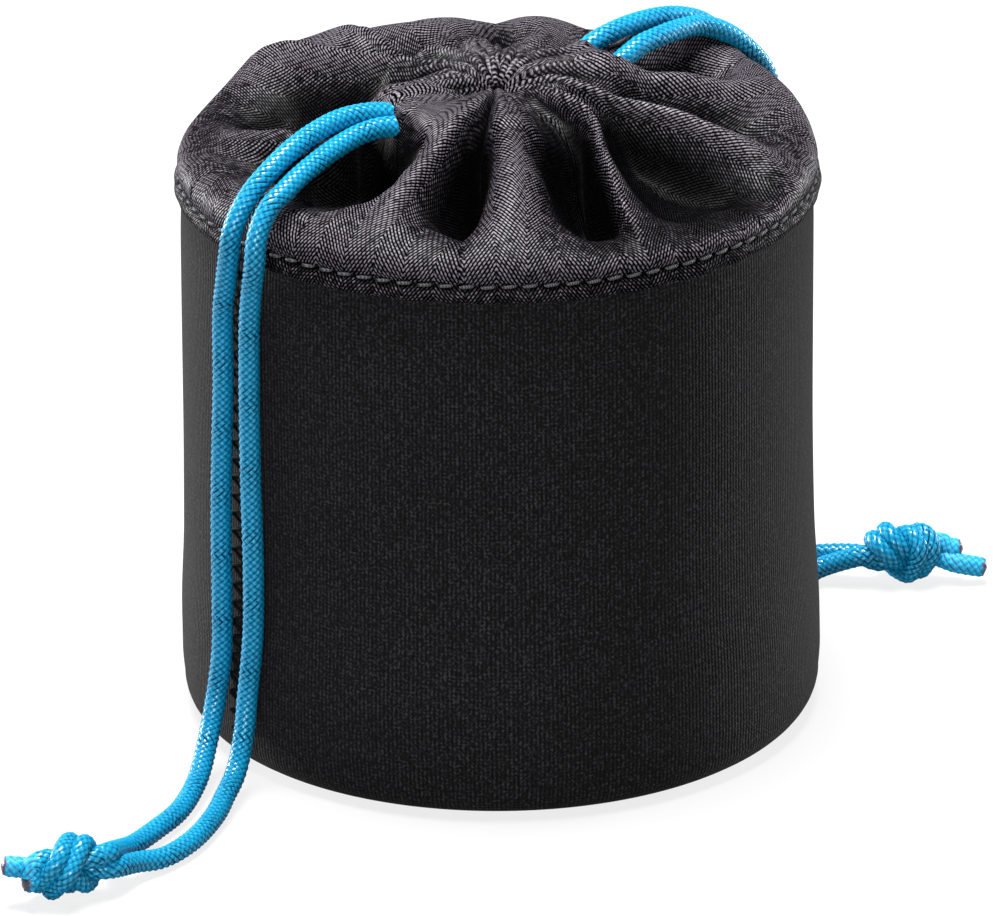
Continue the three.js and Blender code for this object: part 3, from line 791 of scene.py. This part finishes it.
def goreHeight(k, theta, r, z):
    ridge, before, after = foldTurns(k, r)
    edges = folds[k % goreCount]["edge"]
    top = foldHeight(k, r, z, "top")
    floorA, floorB = foldHeight(k - 1, r, z, "floor"), foldHeight(k, r, z, "floor")
    left = np.clip((theta - before) / (ridge - before), 0, 1)
    right = np.clip((after - theta) / (after - ridge), 0, 1)
    left = floorA + (top - floorA) * easeSide(left, edges[0])
    right = floorB + (top - floorB) * easeSide(right, edges[1])
    height = np.where(theta < ridge, left, right) + wrinkle(theta, r)
    return height - collar["seamDepth"] * bell(r, collar["casing"], collar["seamWidth"])


def goreSurface(k):
    skirt = smoothRoute([[r, 0, z] for r, z in collar["skirt"]], collar["step"])[0]
    inward = np.arange(collar["skirt"][-1][0] - collar["step"], collar["throat"][0][0], -collar["step"])
    r = np.concatenate([skirt[:, 0], inward])[:, None]
    z = np.concatenate([skirt[:, 2], np.zeros(len(inward))])[:, None]  # 0 once the shoulder is passed
    t = np.linspace(0, 1, collar["columns"])[None, :]
    ridge, before, after = foldTurns(k, r)
    theta = np.hstack([before + (ridge - before) * t, (ridge + (after - ridge) * t)[:, 1:]])
    rr = r + 0 * theta
    height = goreHeight(k, theta, rr, z + 0 * theta)
    rr = rr - np.where(z > 0, pucker(theta) * bell(height, hem["rise"], hem["spread"]), 0)
    return np.stack([rr * np.cos(theta), rr * np.sin(theta), height], -1), r[:, 0]


flange = dict(steps=6, drop=0.3, slope=0.84, lowest=82.6, least=0.05, under=0.8, covered=0.7,
              width=[[1.2, 7, 17, 25, 33, 40, 44, 46.6, 50], [11, 11, 9, 8.6, 6.4, 2.6, 0.6, 0.1, 0.05]],
              curl=[[0, 0.34, 0.64, 1], [0, 0.24, 0.57, 1.14]])


def goreFlange(k, edge, radii):
    a, slope, least = math.radians(goreTurn * k), flange["slope"], flange["least"]
    out, up = np.array([math.sin(a), -math.cos(a), 0]), np.array([0, 0, 1.0])
    width = np.interp(radii, *flange["width"])
    width = np.clip(width, least, np.maximum((edge[:, 2] - flange["lowest"]) / slope, least))
    share = np.linspace(1, 0, flange["steps"], endpoint=False)
    fall = flange["drop"] + slope * width[:, None] * np.interp(share, *flange["curl"])[None]
    sheet = edge[:, None] + width[:, None, None] * share[None, :, None] * out - fall[..., None] * up
    r = np.hypot(sheet[..., 0], sheet[..., 1])
    theta = a + (np.arctan2(sheet[..., 1], sheet[..., 0]) - a + math.pi) % (2 * math.pi) - math.pi
    cover = goreHeight(k - 1, theta, r, 0 * r) - flange["under"]  # it stays under the gore that lies on it
    tucked = np.minimum(sheet[..., 2], cover)
    sheet[..., 2] = np.where(width[:, None] > flange["covered"], tucked, sheet[..., 2])
    return sheet


def lengths(sheet, axis):  # mm along the cloth from its first row or column
    step = np.linalg.norm(np.diff(sheet, axis=axis), axis=2)
    return np.concatenate([np.zeros_like(step.take([0], axis)), np.cumsum(step, axis)], axis)


# painted shade on the collar: darker deep in folds, on steep flanks, in pleat valleys and towards the hem,
# lighter on ridges as painted light
shade = dict(free=0.9, depth=5, ridge=-0.35, lift=2, pleat=(0.3, 0.9), steep=1.4, over=2,
             steepFrom=12, steepTo=40, least=-0.7, rim=0.35, rimFrom=42, rimOver=4)


def paintedFoldShade(sheet, radii, wave, gather):  # painted shade: how deep in a fold, on a steep flank or in a pleat's valley, and darker towards the hem; below 0 on ridges and pleat crests, where it paints light
    r = radii[:, None]
    even = curveAt(radii, *zip(*collar["crest"]))[:, None]
    deep = np.clip((even - sheet[..., 2] - shade["free"]) / shade["depth"], shade["ridge"], 1)
    deep = np.where(deep < 0, deep * shade["lift"], deep)
    steep = np.abs(np.gradient(sheet[..., 2], axis=0)) / collar["step"]
    steep = steep * (r > shade["steepFrom"]) * (r < shade["steepTo"])
    deep = deep + gather * (shade["pleat"][0] - shade["pleat"][1] * wave)
    deep = np.clip(deep + np.clip((steep - shade["steep"]) / shade["over"], 0, 1), shade["least"], 1)
    return deep + shade["rim"] * np.clip((r - shade["rimFrom"]) / shade["rimOver"], 0, 1)


for k in range(goreCount):
    name, body = f"collarGore{k + 1:02d}", f"gore_{k + 1:02d}"
    surface, radii = goreSurface(k)
    sheet = np.concatenate([goreFlange(k, surface[:, 0], radii), surface], 1)
    rows, columns = sheet.shape[:2]
    crest = flange["steps"] + collar["columns"] - 1
    across, along = lengths(sheet, 1), lengths(sheet, 0) + collar["weaveStart"]
    across = across - across[:, crest:crest + 1] + foldTurn(k, float(turnAt[-1]), "ridge") * collar["round"]
    uv = np.stack([across, along], -1).reshape(-1, 2) / 100
    wave, gather = pleat(np.arctan2(sheet[..., 1], sheet[..., 0]), np.hypot(sheet[..., 0], sheet[..., 1]))
    values = {"seam": np.abs(np.repeat(radii, columns) - collar["casing"]),
              "paintedShade": paintedFoldShade(sheet, radii, wave, gather).ravel(),
              "gather": gather.ravel()}
    piece = addMesh(name, sheet.reshape(-1, 3) * mm, gridFaces(rows, columns)[:, ::-1], twill, uv, values)
    thicken = piece.modifiers.new("cloth", "SOLIDIFY")
    thicken.thickness, thicken.offset = collar["cloth"] * mm, -1
    a = math.radians(goreTurn * k)
    way = np.array([math.cos(a), math.sin(a)])
    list(way * 0.0478)
    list(way * 0.0428)
    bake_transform(piece)
    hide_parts(f"collar_gore_{k + 1:02d}")


def makeHem():
    profile = smoothRoute([[r, 0, z] for r, z in hem["profile"]], hem["step"])[0][:, [0, 2]]
    theta = np.linspace(0, 2 * math.pi, hem["columns"] + 1)
    r, z = profile[:, :1] + 0 * theta, profile[:, 1:] + 0 * theta
    r = r + hem["ripple"] * np.sin(41 * theta + 2 * np.sin(3 * theta)) * np.clip((89 - z), 0, 1)
    r = r - pucker(theta) * bell(z, hem["rise"], hem["spread"])
    verts = np.stack([r * np.cos(theta), r * np.sin(theta), z], -1).reshape(-1, 3)
    # painted shade in the stitch groove, deepest at each stitch's pull, and the whole band made a little
    # darker evenly
    groove = (0.5 + pucker(theta) / hem["pull"]) * bell(z, hem["rise"] + 0.1, hem["groove"]) + 0.3
    v = np.repeat(pathLength(profile), len(theta)) + hem["weaveStart"]
    uv = np.stack([np.tile(theta * collar["round"], len(profile)), v], 1) / 100
    values = {"seam": np.full(len(verts), 20.0), "paintedShade": groove.ravel(), "gather": np.zeros(len(verts))}
    return addMesh("hemBand", verts * mm, gridFaces(len(profile), len(theta)), twill, uv, values)


hemBand = makeHem()
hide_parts("hem_band")
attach(hemBand, "pouch")

stitch = dict(sides=8, points=9, reach=0.36, radius=49.44, bow=0.16, dive=0.3, lean=0.12, thread=0.3,
              uneven=0.0012, wander=0.04)
verts, faces = [], []
t = np.linspace(-1, 1, stitch["points"])
for i in range(hem["stitches"]):
    mid = 2 * math.pi * i / hem["stitches"] + rng.normal(0, stitch["uneven"])
    reach = stitch["reach"] * 2 * math.pi / hem["stitches"]
    a = mid + reach * t
    r = stitch["radius"] + stitch["bow"] * (1 - t**4) - stitch["dive"] * np.abs(t) ** 6
    z = hem["rise"] + rng.normal(0, stitch["wander"]) + stitch["lean"] * t
    line = np.stack([r * np.cos(a), r * np.sin(a), z], 1)
    along, side, other = sweepFrames(line)
    girth = stitch["thread"] * (1 - 0.5 * np.abs(t) ** 5)
    ring = line[:, None] + girth[:, None, None] * ringAround(side, other, stitch["sides"])
    faces.append(gridFaces(len(t), stitch["sides"], around=True) + len(verts) * len(t) * stitch["sides"])
    verts.append(ring.reshape(-1, 3))
hemStitch = addMesh("hemStitch", np.vstack(verts) * mm, np.vstack(faces), hemThread)
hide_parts("hem_stitch")
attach(hemStitch, "pouch")

seam = dict(angle=178, half=1.5, pitch=3.0, low=5, high=86, out=0.2, step=0.4)
seamThread = dict(radius=0.28, sides=8, carriers=2, pick=0.5, relief=0.06)
z = np.arange(seam["low"], seam["high"] + 0.1, seam["pitch"] / 2)
a = np.radians(seam["angle"]) + np.where(np.arange(len(z)) % 2 == 0, 1, -1) * seam["half"] / wall["middle"]
r = curveAt(z, *zip(*wall["outside"])) + unevenWall(a, z) + seam["out"]
line, s = smoothRoute(np.stack([r * np.cos(a), r * np.sin(a), z], 1), seam["step"])
sideSeam = braidTube("sideSeam", line, s, seamThread, thread)
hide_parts("side_seam")
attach(sideSeam, "pouch")
print("stage: collar and seams made")
